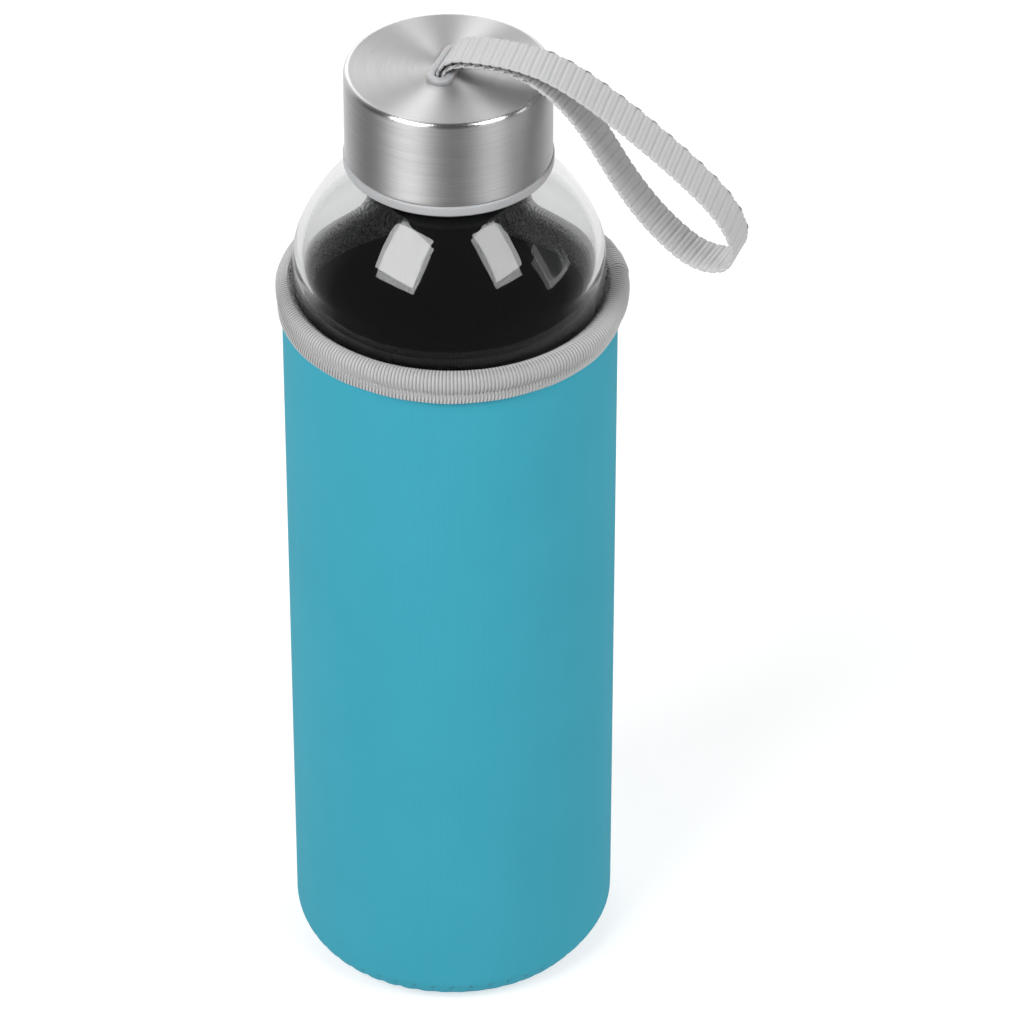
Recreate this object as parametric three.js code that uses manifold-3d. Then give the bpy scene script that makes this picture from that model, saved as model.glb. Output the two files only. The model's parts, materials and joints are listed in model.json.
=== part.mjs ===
// A glass water bottle with a stainless screw lid, a woven carry loop and a neoprene sleeve.
// Millimetres, +Z up. The origin is the centre of the sleeve's underside, and the bottle's axis is Z.
import * as THREE from "three";
import { mergeVertices } from "three/addons/utils/BufferGeometryUtils.js";
import Module from "manifold-3d";

const wasm = await Module();
wasm.setup();

// ---- Driving dimensions ----
const gap = 0.3; // clearance between neighbouring pieces
const segments = 48; // facets round the axis

const overallHeight = 220; // floor to the lid's flat top
const glassRadius = 32.5;
const glassWall = 2.2;
const glassFloor = 5;
const glassCorner = 4.4; // radius of the glass's bottom corner
const puntDepth = 1.4; // how far the glass's underside is domed up
const bearingRadius = 22; // inside of the ring that the bare glass stands on
const shoulderStart = 174.5; // height where the glass starts to close in
const shoulderFullness = 7.8; // how long the shoulder holds the wall's direction

const neckRadius = 17.5; // outside of the neck, below its thread
const neckBore = 14.6;
const neckStart = 199.5;
const neckTop = 212.9;
const beadRadius = 18.4; // transfer bead at the foot of the neck
const threadPitch = 4.2;
const threadReach = 18.75; // outermost radius of the neck's thread
const threadStart = 203.2;
const neckThreadTurns = 1.5;
const capThreadTurns = 1.25;

const shellRadius = 21.4;
const shellWall = 0.4;
const shellHeight = 19.6;
const shellEdge = 1.2; // radius of the lid's top edge
const capFootRadius = 21.7;
const capFootHeight = 2.1;
const capPlate = 1.6; // thickness of the cap's ceiling
const sealThickness = 1.3;
const sealHole = 13.5;

const strapWidth = 10;
const strapThickness = 0.8;
const strapTurn = 20; // degrees that the loop's plane is turned from +X towards -Y

const sleeveBottomRadius = 34.7;
const sleeveTopRadius = 35;
const sleeveSkin = 1.3; // neoprene at the base
const liningThickness = 0.3;
const seamAngle = 20; // degrees from +X towards +Y, where the wrapped panel's edges meet
const bindingHem = 161.5; // lower edge of the binding
const bindingGroove = 164.1; // stitch line of the binding
const rollRadius = 2.35;

// ---- Dimensions that follow ----
const shellBottom = overallHeight - shellHeight;
const shellUnderside = overallHeight - shellWall;
const capFootTop = shellBottom - gap;
const capFootBottom = capFootTop - capFootHeight;
const capOuter = shellRadius - shellWall - gap;
const capBore = threadReach + gap;
const capCeiling = neckTop + gap + sealThickness + gap;
const capTop = capCeiling + capPlate;

const cornerCentre = glassRadius - glassCorner; // all the base's corners turn about this radius
const liningInner = glassRadius + gap;
const liningOuter = liningInner + liningThickness;
const panelInner = liningOuter + gap;
const cornerHeight = sleeveBottomRadius - cornerCentre;
const glassBottom = cornerHeight - glassCorner;

const slotLength = strapWidth + 1.9; // its round ends clear the strap's square edges
const slotWidth = 2 * strapThickness + 3 * gap;
const grommetWall = 0.7;

const teal = 0x46a8c1;
const lightGrey = 0xc9c9cb;
const black = 0x17171a;

// The loop's centre line in its own upright plane, as [distance from the axis, height].
// It leaves the slot, bends over, runs out and down, turns at the bottom and comes back under itself.
const strapRoute = [
  [-0.55, 217.2],
  [-0.55, 221],
  [0.5, 223.3],
  [3.1, 225],
  [6.8, 225.6],
  [11, 225.9],
  [15.5, 225.8],
  [20.4, 225.1],
  [25, 223.6],
  [29.4, 221.5],
  [34.2, 218.7],
  [39, 215.7],
  [43.6, 212.5],
  [48.2, 209.1],
  [52.8, 205.5],
  [57, 201.8],
  [60.2, 198.1],
  [62.3, 194.2],
  [62.8, 190.6],
  [61.6, 188],
  [59.2, 186.8],
  [56.2, 186.7],
  [52.8, 187.7],
  [49, 190.2],
  [45, 193.7],
  [41.2, 197.9],
  [37.6, 202.7],
  [34.3, 207.8],
  [31, 212.7],
  [27.6, 216.9],
  [23.8, 220.4],
  [19.4, 223],
  [14.8, 224.4],
  [10.2, 224.7],
  [6.4, 224.4],
  [3.5, 223.7],
  [1.6, 222.7],
  [0.6, 221],
  [0.55, 217.2],
];

// ---- Geometry helpers ----

function degrees(angle) {
  return (angle * Math.PI) / 180;
}

// Points of an arc about a centre in the profile plane, angles in degrees from the outward radius.
function arc(centreRadius, centreHeight, radius, from, to, steps) {
  const points = [];
  for (let i = 0; i <= steps; i++) {
    const angle = degrees(from + ((to - from) * i) / steps);
    points.push([
      centreRadius + radius * Math.cos(angle),
      centreHeight + radius * Math.sin(angle),
    ]);
  }
  return points;
}

// A body of revolution about Z from a profile of [radius, height] points.
function turned(profile) {
  const points = profile.map(([r, z]) => new THREE.Vector2(r, z));
  return new THREE.LatheGeometry(points, segments).rotateX(Math.PI / 2);
}

// The same for a ring: its profile closes on itself.
function turnedRing(profile) {
  return turned([...profile, profile[0]]);
}

function toSolid(geometry) {
  const bare = new THREE.BufferGeometry();
  bare.setAttribute("position", geometry.getAttribute("position"));
  bare.setIndex(geometry.getIndex());
  const merged = mergeVertices(bare, 1e-4);
  return new wasm.Manifold(
    new wasm.Mesh({
      numProp: 3,
      vertProperties: merged.attributes.position.array,
      triVerts: new Uint32Array(merged.index.array),
    }),
  );
}

function toGeometry(solid) {
  const mesh = solid.getMesh();
  const geometry = new THREE.BufferGeometry();
  geometry.setAttribute(
    "position",
    new THREE.BufferAttribute(new Float32Array(mesh.vertProperties), 3),
  );
  geometry.setIndex(new THREE.BufferAttribute(mesh.triVerts, 1));
  geometry.computeVertexNormals();
  return geometry;
}

// A half-round thread ridge that climbs about Z.
function threadRidge(radius, ridgeRadius, startHeight, startAngle, turns) {
  class Helix extends THREE.Curve {
    getPoint(t, target = new THREE.Vector3()) {
      const angle = startAngle + t * turns * 2 * Math.PI;
      return target.set(
        radius * Math.cos(angle),
        radius * Math.sin(angle),
        startHeight + t * turns * threadPitch,
      );
    }
  }
  const section = new THREE.Shape().absarc(0, 0, ridgeRadius, 0, 2 * Math.PI);
  const stepsPerTurn = 24;
  return new THREE.ExtrudeGeometry(section, {
    steps: Math.round(stepsPerTurn * turns),
    curveSegments: 4,
    extrudePath: new Helix(),
  });
}

// An upright obround block, long along the strap's width.
function obround(length, width, bottom, top) {
  const straight = (length - width) / 2;
  const outline = new THREE.Shape();
  outline.absarc(0, straight, width / 2, 0, Math.PI);
  outline.absarc(0, -straight, width / 2, Math.PI, 2 * Math.PI);
  return new THREE.ExtrudeGeometry(outline, {
    depth: top - bottom,
    bevelEnabled: false,
    curveSegments: 7,
  })
    .translate(0, 0, bottom)
    .rotateZ(degrees(-strapTurn));
}

// ---- The glass ----

function glassBottle() {
  const inner = glassRadius - glassWall;
  const innerCorner = 6;
  const innerFloor = glassBottom + glassFloor;
  const lipEdge = 0.8; // rounding of the neck's mouth
  const beadHeight = 2;
  const shoulder = shoulderCurve(glassRadius, neckRadius, neckStart);
  const innerShoulder = shoulderCurve(inner, neckBore, neckStart - glassWall / 2);
  const punt = [1, 0.92, 0.7, 0.3, 0].map((share, i) => [
    (i * bearingRadius) / 4,
    glassBottom + puntDepth * share,
  ]);
  const body = toSolid(
    turned([
      ...punt,
      ...arc(cornerCentre, cornerHeight, glassCorner, -90, 0, 4),
      ...shoulder,
      [beadRadius, neckStart + beadHeight * 0.25],
      [beadRadius, neckStart + beadHeight * 0.75],
      [neckRadius, neckStart + beadHeight],
      [neckRadius, neckTop - lipEdge],
      [neckRadius - lipEdge, neckTop],
      [neckBore + lipEdge, neckTop],
      [neckBore, neckTop - lipEdge],
      ...innerShoulder.reverse(),
      ...arc(inner - innerCorner, innerFloor + innerCorner, innerCorner, 0, -90, 4),
      [0, innerFloor],
    ]),
  );
  const ridgeRadius = 1.1;
  const ridge = toSolid(
    threadRidge(
      threadReach - ridgeRadius,
      ridgeRadius,
      threadStart,
      0,
      neckThreadTurns,
    ),
  );
  return toGeometry(body.add(ridge));
}

// The round shoulder: from the straight wall over its dome, then up a fillet to the foot of the neck.
function shoulderCurve(wallRadius, footRadius, footHeight) {
  const domeEnd = new THREE.Vector2(footRadius + 1.4, footHeight - 3.6);
  const dome = new THREE.CubicBezierCurve(
    new THREE.Vector2(wallRadius, shoulderStart),
    new THREE.Vector2(wallRadius, shoulderStart + shoulderFullness),
    new THREE.Vector2(footRadius + 5.2, footHeight - 5),
    domeEnd,
  );
  const fillet = new THREE.QuadraticBezierCurve(
    domeEnd,
    new THREE.Vector2(footRadius, footHeight - 3.1),
    new THREE.Vector2(footRadius, footHeight),
  );
  const points = [...dome.getPoints(6), ...fillet.getPoints(2).slice(1)];
  return points.map((p) => [p.x, p.y]);
}

// ---- The lid ----

function lidShell() {
  const inner = shellRadius - shellWall;
  const innerEdge = shellEdge - shellWall;
  const cup = toSolid(
    turned([
      [0, shellUnderside],
      ...arc(inner - innerEdge, shellUnderside - innerEdge, innerEdge, 90, 0, 3),
      [inner, shellBottom],
      [shellRadius, shellBottom],
      ...arc(shellRadius - shellEdge, overallHeight - shellEdge, shellEdge, 0, 90, 4),
      [0, overallHeight],
    ]),
  );
  const hole = obround(
    slotLength + 2 * (grommetWall + gap),
    slotWidth + 2 * (grommetWall + gap),
    shellUnderside - 1,
    overallHeight + 1,
  );
  return toGeometry(cup.subtract(toSolid(hole)));
}

function innerCap() {
  const footEdge = 0.35;
  const body = toSolid(
    turned([
      [0, capCeiling],
      [capBore, capCeiling],
      [capBore, capFootBottom + 0.6],
      [capBore + 0.6, capFootBottom],
      [capFootRadius - footEdge, capFootBottom],
      [capFootRadius, capFootBottom + footEdge],
      [capFootRadius, capFootTop - footEdge],
      [capFootRadius - footEdge, capFootTop],
      [capOuter, capFootTop],
      [capOuter, capTop - 0.8],
      [capOuter - 0.8, capTop],
      [0, capTop],
    ]),
  );
  const ridgeRadius = 1.2;
  const startTurns = -0.5; // it starts half a turn before the neck's thread does
  const ridge = toSolid(
    threadRidge(
      capBore,
      ridgeRadius,
      threadStart + threadPitch * (0.5 + startTurns),
      startTurns * 2 * Math.PI,
      capThreadTurns,
    ),
  );
  return toGeometry(body.add(ridge));
}

function sealRing() {
  const bottom = neckTop + gap;
  return turnedRing([
    [sealHole, bottom],
    [capBore - gap, bottom],
    [capBore - gap, bottom + sealThickness],
    [sealHole, bottom + sealThickness],
  ]);
}

function strapGrommet() {
  const rim = 1.5; // width of the visible rim round the slot
  const rimHeight = 1.1;
  const snap = 0.4; // lip that holds it below the shell
  const snapHeight = 0.6;
  const lip = (width) => [slotLength + 2 * width, slotWidth + 2 * width];
  const rimBottom = overallHeight + gap;
  const snapTop = shellUnderside - gap;
  const body = toSolid(obround(...lip(grommetWall), snapTop - snapHeight, rimBottom + rimHeight))
    .add(toSolid(obround(...lip(rim), rimBottom, rimBottom + rimHeight)))
    .add(toSolid(obround(...lip(grommetWall + gap + snap), snapTop - snapHeight, snapTop)));
  const slot = obround(...lip(0), snapTop - 2, rimBottom + rimHeight + 1);
  return toGeometry(body.subtract(toSolid(slot)));
}

function strapClip() {
  const wall = 1.6;
  const bottom = capTop + gap;
  const top = bottom + 1.5;
  const outside = obround(slotLength + 2 * wall, slotWidth + 2 * wall, bottom, top);
  const inside = obround(slotLength, slotWidth, bottom - 1, top + 1);
  return toGeometry(toSolid(outside).subtract(toSolid(inside)));
}

// The webbing: its centre line thickened both ways, and drawn out to the strap's width.
function carryStrap() {
  const route = new THREE.SplineCurve(strapRoute.map(([x, z]) => new THREE.Vector2(x, z)));
  const steps = 80;
  const outer = [];
  const inner = [];
  for (let i = 0; i <= steps; i++) {
    const point = route.getPointAt(i / steps);
    const along = route.getTangentAt(i / steps);
    const across = new THREE.Vector2(-along.y, along.x).multiplyScalar(strapThickness / 2);
    outer.push(point.clone().add(across));
    inner.push(point.clone().sub(across));
  }
  const outline = new THREE.Shape([...outer, ...inner.reverse()]);
  return new THREE.ExtrudeGeometry(outline, { depth: strapWidth, bevelEnabled: false })
    .rotateX(Math.PI / 2)
    .translate(0, strapWidth / 2, 0)
    .rotateZ(degrees(-strapTurn));
}

// ---- The sleeve ----

const seamHeight = -50; // degrees round the corner where the side ends
const baseHeight = -56; // degrees round the corner where the base disc starts
const panelTop = bindingGroove + 1.6;

function sidePanel() {
  const tube = toSolid(
    turnedRing([
      ...arc(cornerCentre, cornerHeight, cornerHeight, seamHeight, 0, 3),
      [sleeveTopRadius, bindingHem],
      [sleeveTopRadius, panelTop],
      [panelInner, panelTop],
      ...arc(cornerCentre, cornerHeight, panelInner - cornerCentre, 0, seamHeight, 3),
    ]),
  );
  const slit = new THREE.BoxGeometry(sleeveTopRadius, gap, 2 * overallHeight)
    .translate(sleeveTopRadius, 0, 0)
    .rotateZ(degrees(seamAngle));
  return toGeometry(tube.subtract(toSolid(slit)));
}

function sideLining() {
  return turnedRing([
    ...arc(cornerCentre, cornerHeight, liningOuter - cornerCentre, seamHeight, 0, 3),
    [liningOuter, bindingHem - gap],
    [liningInner, bindingHem - gap],
    ...arc(cornerCentre, cornerHeight, liningInner - cornerCentre, 0, seamHeight, 3),
  ]);
}

function basePanel() {
  return turned([
    [0, 0],
    ...arc(cornerCentre, cornerHeight, cornerHeight, -90, baseHeight, 2),
    ...arc(cornerCentre, cornerHeight, cornerHeight - sleeveSkin, baseHeight, -90, 2),
    [0, sleeveSkin],
  ]);
}

function baseLining() {
  const top = sleeveSkin + gap + liningThickness;
  return turned([
    [0, sleeveSkin + gap],
    ...arc(cornerCentre, cornerHeight, liningOuter - cornerCentre, -90, baseHeight, 2),
    ...arc(cornerCentre, cornerHeight, cornerHeight - top, baseHeight, -90, 2),
    [0, top],
  ]);
}

// An upside-down U of tape over the panel's top edge: a flat hem, a stitched groove and a fat roll.
function topBinding() {
  const inside = liningInner + 0.05;
  const innerLeg = inside + 0.45;
  const outerLeg = sleeveTopRadius + gap;
  const rollCentre = sleeveTopRadius - 0.5;
  const rollHeight = bindingGroove + 2.2;
  return turnedRing([
    [outerLeg, bindingHem],
    [outerLeg + 0.6, bindingHem + 0.3],
    [outerLeg + 0.6, bindingGroove - 0.4],
    [outerLeg + 0.3, bindingGroove],
    ...arc(rollCentre, rollHeight, rollRadius, -45, 120, 7),
    [inside, rollHeight + 0.6],
    [inside, bindingHem],
    [innerLeg, bindingHem],
    [innerLeg, panelTop + gap],
    [outerLeg, panelTop + gap],
  ]);
}

// A stitch line drawn as one thin cord round the sleeve.
function stitchRing(radius, height, threadRadius) {
  return turnedRing(arc(radius, height, threadRadius, 0, 270, 3));
}

function baseSeamStitch() {
  const angle = degrees((seamHeight + baseHeight) / 2);
  const thread = 0.3;
  const reach = cornerHeight + gap / 2;
  return stitchRing(
    cornerCentre + reach * Math.cos(angle),
    cornerHeight + reach * Math.sin(angle),
    thread,
  );
}

function sideSeamStitch() {
  const width = 1.2;
  const thickness = 0.3;
  const bottom = cornerHeight;
  const top = bindingHem - 2 * gap;
  return new THREE.BoxGeometry(thickness, width, top - bottom)
    .translate(sleeveTopRadius + gap + thickness / 2, 0, (top + bottom) / 2)
    .rotateZ(degrees(seamAngle));
}

// ---- The assembly ----

const glass = { color: 0xe8efee, roughness: 0.02, metalness: 0 };
const steel = { color: 0xb9b9bb, roughness: 0.32, metalness: 1 };
const greyPlastic = { color: 0xb4b6ba, roughness: 0.4, metalness: 0 };
const silicone = { color: 0xe6e6e2, roughness: 0.6, metalness: 0 };
const webbing = { color: 0xd2d2d4, roughness: 0.75, metalness: 0 };
const neoprene = { color: teal, roughness: 0.85, metalness: 0 };
const jersey = { color: black, roughness: 0.95, metalness: 0 };
const tape = { color: lightGrey, roughness: 0.8, metalness: 0 };

function piece(name, geometry, finish) {
  const mesh = new THREE.Mesh(geometry, new THREE.MeshStandardMaterial(finish));
  mesh.name = name;
  return mesh;
}

const bottle = new THREE.Group();
bottle.add(piece("glass_bottle", glassBottle(), glass));

const lid = new THREE.Group();
lid.add(
  piece("lid_shell", lidShell(), steel),
  piece("inner_cap", innerCap(), greyPlastic),
  piece("seal_ring", sealRing(), silicone),
  piece("strap_grommet", strapGrommet(), greyPlastic),
  piece("strap_clip", strapClip(), steel),
  piece("carry_strap", carryStrap(), webbing),
);

const sleeve = new THREE.Group();
sleeve.add(
  piece("side_panel", sidePanel(), neoprene),
  piece("side_lining", sideLining(), jersey),
  piece("base_panel", basePanel(), neoprene),
  piece("base_lining", baseLining(), jersey),
  piece("top_binding", topBinding(), tape),
  piece("binding_stitch", stitchRing(sleeveTopRadius + 1.25, bindingGroove, 0.3), tape),
  piece("base_seam_stitch", baseSeamStitch(), neoprene),
  piece("side_seam_stitch", sideSeamStitch(), neoprene),
);

const group = new THREE.Group();
group.add(bottle, lid, sleeve);

export default group;
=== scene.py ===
"""A glass water bottle with a brushed steel screw lid, a woven carry loop and a teal neoprene sleeve.

The CAD frame gives the places. Outlines here are in millimetres until mesh() turns them into metres.
Ring directions are angles from +X towards +Y, and the camera stands on the -Y side.
"""

import json
import math

import bmesh
import bpy
import numpy as np
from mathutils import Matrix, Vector

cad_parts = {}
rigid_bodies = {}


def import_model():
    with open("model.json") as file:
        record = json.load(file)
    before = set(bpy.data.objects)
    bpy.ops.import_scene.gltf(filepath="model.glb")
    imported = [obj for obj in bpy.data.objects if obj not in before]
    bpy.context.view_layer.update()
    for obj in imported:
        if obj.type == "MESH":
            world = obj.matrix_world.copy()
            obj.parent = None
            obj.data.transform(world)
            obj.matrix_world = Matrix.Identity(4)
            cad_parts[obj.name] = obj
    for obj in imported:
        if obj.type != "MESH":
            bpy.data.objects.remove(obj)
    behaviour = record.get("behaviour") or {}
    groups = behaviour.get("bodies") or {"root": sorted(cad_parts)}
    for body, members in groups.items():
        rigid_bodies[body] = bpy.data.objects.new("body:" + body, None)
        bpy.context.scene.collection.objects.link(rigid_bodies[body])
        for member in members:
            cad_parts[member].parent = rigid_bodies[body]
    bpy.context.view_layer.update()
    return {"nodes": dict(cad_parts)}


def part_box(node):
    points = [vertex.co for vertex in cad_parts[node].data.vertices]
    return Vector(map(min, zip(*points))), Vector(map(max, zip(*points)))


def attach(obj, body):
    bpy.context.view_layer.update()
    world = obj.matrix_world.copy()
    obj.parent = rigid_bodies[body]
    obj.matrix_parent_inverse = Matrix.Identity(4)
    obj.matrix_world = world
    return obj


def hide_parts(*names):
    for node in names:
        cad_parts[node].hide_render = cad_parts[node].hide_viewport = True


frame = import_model()

MM = 0.001
TURN = 2 * math.pi


def box_mm(node):
    """A CAD node's lowest and highest corners in millimetres."""
    low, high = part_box(node)
    return low / MM, high / MM


glass_low, glass_high = box_mm("glass_bottle")
shell_low, shell_high = box_mm("lid_shell")
cap_low, cap_high = box_mm("inner_cap")
seal_low, seal_high = box_mm("seal_ring")
grommet_low, grommet_high = box_mm("strap_grommet")
_, panel_high = box_mm("side_panel")
_, lining_high = box_mm("side_lining")
base_lining_low, _ = box_mm("base_lining")
binding_low, _ = box_mm("top_binding")

# ---- Sizes of the details, in millimetres ----

# The glass
glass_radius = glass_high.x
glass_wall = 2.2
glass_floor = 5
glass_corner = 4.4
punt_depth = 1.4
bearing_radius = 22
shoulder_start = 174.5
shoulder_fullness = 7.8
neck_radius = 17.5
neck_bore = 14.6
neck_start = 199.5
neck_top = glass_high.z
bead_radius = 18.4
thread_pitch = 4.2
thread_start = 203.2
thread_depth = 1.2
thread_width = 0.85
thread_run_out = 0.08  # turns over which a thread rises and fades at its ends
neck_thread_turns = 1.5
cap_thread_turns = 1.25

# The lid
shell_radius = shell_high.x
shell_top = shell_high.z
shell_wall = 0.4
shell_edge = 1.2
shell_under = shell_top - shell_wall
skirt_edge = 0.15
cap_bore = 19.05
cap_plate = 1.6
cap_clearance = 0.3

# The strap and its slot
strap_width = 10
strap_thickness = 0.8
strap_turn = math.radians(20)  # how far the loop is turned from the right towards the camera
slot_length = 11.9
slot_width = 2.5
rib_pitch = 2.1

# The sleeve
sleeve_top_radius = panel_high.y
corner_centre = glass_radius - glass_corner
corner_radius = glass_low.z + glass_corner
sleeve_bottom_radius = corner_centre + corner_radius
seam_angle = math.radians(20)
side_end = -50  # degrees round the base's corner where the side's cloth ends
base_start = -56  # and where the base's cloth starts
stitch_turn = -20  # and where the middle of each base stitch lies
jersey_thickness = 0.3
cloth_gap = 0.3
hem_height = binding_low.z
groove_height = hem_height + 2.6
stitch_level = hem_height + 2.55
roll_radius = 2.35
roll_centre = sleeve_top_radius - 0.5
roll_height = groove_height + 2.2
tape_ribs = 298
stitch_pitch = 4.4
base_stitches = 52
rim_tilt = 0.012  # how much the rim drops for each unit towards the strap's side
rim_shift = 0.6  # how much further the roll stands out on the strap's side

# The height that the softboxes face
softbox_aim = 190

# The strap's centre line in its own upright plane: distance from the axis, height.
strap_route = [
    (-0.55, 217.2), (-0.55, 221), (0.5, 223.3), (3.1, 225), (6.8, 225.6), (11, 225.9),
    (15.5, 225.8), (20.4, 225.1), (25, 223.6), (29.4, 221.5), (34.2, 218.7), (39, 215.7),
    (43.6, 212.5), (48.2, 209.1), (52.8, 205.5), (57, 201.8), (60.2, 198.1), (62.3, 194.2),
    (62.8, 190.6), (61.6, 188), (59.2, 186.8), (56.2, 186.7), (52.8, 187.7), (49, 190.2),
    (45, 193.7), (41.2, 197.9), (37.6, 202.7), (34.3, 207.8), (31, 212.7), (27.6, 216.9),
    (23.8, 220.4), (19.4, 223), (14.8, 224.4), (10.2, 224.7), (6.4, 224.4), (3.5, 223.7),
    (1.6, 222.7), (0.6, 221), (0.55, 217.2),
]
strap_out = np.array([math.cos(strap_turn), -math.sin(strap_turn), 0])
strap_across = np.array([math.sin(strap_turn), math.cos(strap_turn), 0])
up = np.array([0, 0, 1])
slot_angle = math.atan2(strap_across[1], strap_across[0])


# ---- Camera ----

def camera():
    aim = Vector((0.01295, 0, 0.10805))
    distance = 1.42306
    elevation = math.radians(36.36)
    data = bpy.data.cameras.new("camera")
    data.lens = 235
    data.sensor_width = 36
    data.clip_start = 0.05
    data.clip_end = 60
    eye = bpy.data.objects.new("camera", data)
    eye.location = aim + distance * Vector((0, -math.cos(elevation), math.sin(elevation)))
    eye.rotation_euler = (math.pi / 2 - elevation, 0, 0)
    bpy.context.scene.collection.objects.link(eye)
    bpy.context.scene.camera = eye


# ---- Outlines ----

def arc(centre, height, radius, start, end, steps):
    """Points of an arc in the profile plane, angles in degrees from the outward radius."""
    turn = np.radians(np.linspace(start, end, steps + 1))
    return np.stack([centre + radius * np.cos(turn), height + radius * np.sin(turn)], axis=1)


def line(start, end, steps):
    return np.linspace(start, end, steps + 1)


def outline(*parts):
    """One list of points from stretches that follow each other, with doubled points dropped."""
    points = np.concatenate([np.atleast_2d(np.asarray(part, float)) for part in parts])
    step = np.linalg.norm(np.diff(points, axis=0), axis=1)
    return points[np.concatenate([[True], step > 1e-6])]


def bezier(knots, steps):
    """Points of the Bezier curve with these knots."""
    share = np.linspace(0, 1, steps + 1)[:, None]
    degree = len(knots) - 1
    return sum(
        math.comb(degree, place) * (1 - share) ** (degree - place) * share**place * np.array(knot)
        for place, knot in enumerate(knots)
    )


def shoulder(wall_radius, foot_radius, foot_height):
    """The round shoulder: from the straight wall over its dome, then up a fillet to the neck's foot."""
    dome = [
        (wall_radius, shoulder_start),
        (wall_radius, shoulder_start + shoulder_fullness),
        (foot_radius + 5.2, foot_height - 5),
        (foot_radius + 1.4, foot_height - 3.6),
    ]
    fillet = [dome[-1], (foot_radius, foot_height - 3.1), (foot_radius, foot_height)]
    return outline(bezier(dome, 40), bezier(fillet, 10))


def normals(profile, closed):
    """The unit normal beside each point of a profile, on the right of its direction."""
    if closed:
        along = np.roll(profile, -1, axis=0) - np.roll(profile, 1, axis=0)
    else:
        along = np.gradient(profile, axis=0)
    across = np.stack([along[:, 1], -along[:, 0]], axis=1)
    return across / np.linalg.norm(across, axis=1)[:, None]


def ease(x):
    """0 below 0, 1 above 1, and smooth between."""
    x = np.clip(x, 0, 1)
    return x * x * (3 - 2 * x)


def bell(x, width):
    return np.exp(-((x / width) ** 2))


def ring_angles(steps):
    return np.linspace(0, TURN, steps, endpoint=False)


def away_from(turn, angle):
    """How far each ring direction is from an angle, in radians, from -pi to pi."""
    return (turn - angle + math.pi) % TURN - math.pi


# ---- Meshes ----

def spin(profile, steps, push=0, lift=0):
    """Rows of ring points from a profile. push moves them out along the profile's normal."""
    turn = ring_angles(steps)
    side = normals(profile, np.allclose(profile[0], profile[-1]))
    radius = profile[:, :1] + side[:, :1] * push
    height = profile[:, 1:] + side[:, 1:] * push + lift + 0 * turn
    return np.stack([radius * np.cos(turn), radius * np.sin(turn), height], axis=-1)


def set_radius(rows, chosen, radius):
    """Moves the chosen rows of a spun form to another distance from the axis."""
    turn = ring_angles(rows.shape[1])
    rows[chosen, :, 0] = radius * np.cos(turn)
    rows[chosen, :, 1] = radius * np.sin(turn)


def mesh(name, rows, closed=False, capped=False):
    """A smooth quad mesh from rows of ring points in millimetres.

    closed joins the last row to the first, and capped fills the two end rings.
    UV runs in metres: round the ring, and along the rows.
    """
    rows = np.asarray(rows, float) * MM
    count, around = rows.shape[:2]
    spans = count if closed else count - 1
    i, j = np.meshgrid(np.arange(spans), np.arange(around), indexing="ij")
    next_i = (i + 1) % count
    next_j = (j + 1) % around
    corners = [i * around + j, i * around + next_j, next_i * around + next_j, next_i * around + j]
    faces = np.stack(corners, axis=-1).reshape(-1, 4).tolist()
    ring_step = np.linalg.norm(np.diff(rows, axis=1, append=rows[:, :1]), axis=2)
    u = np.concatenate([[0], np.cumsum(ring_step[ring_step.sum(axis=1).argmax()])])
    row_step = np.linalg.norm(np.diff(rows, axis=0, append=rows[:1]), axis=2).mean(axis=1)
    v = np.concatenate([[0], np.cumsum(row_step)])
    uv = np.stack([u[[j, j + 1, j + 1, j]], v[[i, i, i + 1, i + 1]]], axis=-1)
    uv = uv.transpose(1, 2, 0, 3).reshape(-1, 2)
    if capped:
        faces.append(list(range(around)))
        faces.append(list(range((count - 1) * around, count * around)))
        uv = np.concatenate([uv, np.zeros((2 * around, 2))])
    data = bpy.data.meshes.new(name)
    data.from_pydata(rows.reshape(-1, 3).tolist(), [], faces)
    data.uv_layers.new(name="UVMap").data.foreach_set("uv", uv.ravel())
    return finished(name, data)


def finished(name, data):
    """An object from mesh data, with poles merged, faces turned outwards and smooth shading."""
    work = bmesh.new()
    work.from_mesh(data)
    bmesh.ops.remove_doubles(work, verts=work.verts, dist=1e-7)
    bmesh.ops.recalc_face_normals(work, faces=work.faces)
    work.to_mesh(data)
    work.free()
    data.shade_smooth()
    data.set_sharp_from_angle(angle=math.radians(55))
    made = bpy.data.objects.new(name, data)
    bpy.context.scene.collection.objects.link(made)
    return made


def threads(name, routes, radius):
    """Many short threads as one mesh, each a tube along its own route of points in millimetres."""
    curve = bpy.data.curves.new(name, "CURVE")
    curve.dimensions = "3D"
    curve.bevel_depth = radius * MM
    curve.bevel_resolution = 3
    curve.use_fill_caps = True
    for route in routes:
        spline = curve.splines.new("POLY")
        spline.points.add(len(route) - 1)
        points = np.concatenate([np.asarray(route, float) * MM, np.ones((len(route), 1))], axis=1)
        spline.points.foreach_set("co", points.ravel())
    drawn = bpy.data.objects.new(name + "_line", curve)
    bpy.context.scene.collection.objects.link(drawn)
    bpy.context.view_layer.update()
    data = bpy.data.meshes.new_from_object(drawn.evaluated_get(bpy.context.evaluated_depsgraph_get()))
    bpy.data.objects.remove(drawn)
    data.name = name
    return finished(name, data)


def at(radius, turn, height):
    """A point from its distance from the axis, its direction and its height."""
    return np.array([radius * math.cos(turn), radius * math.sin(turn), height])


# ---- The glass ----

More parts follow.
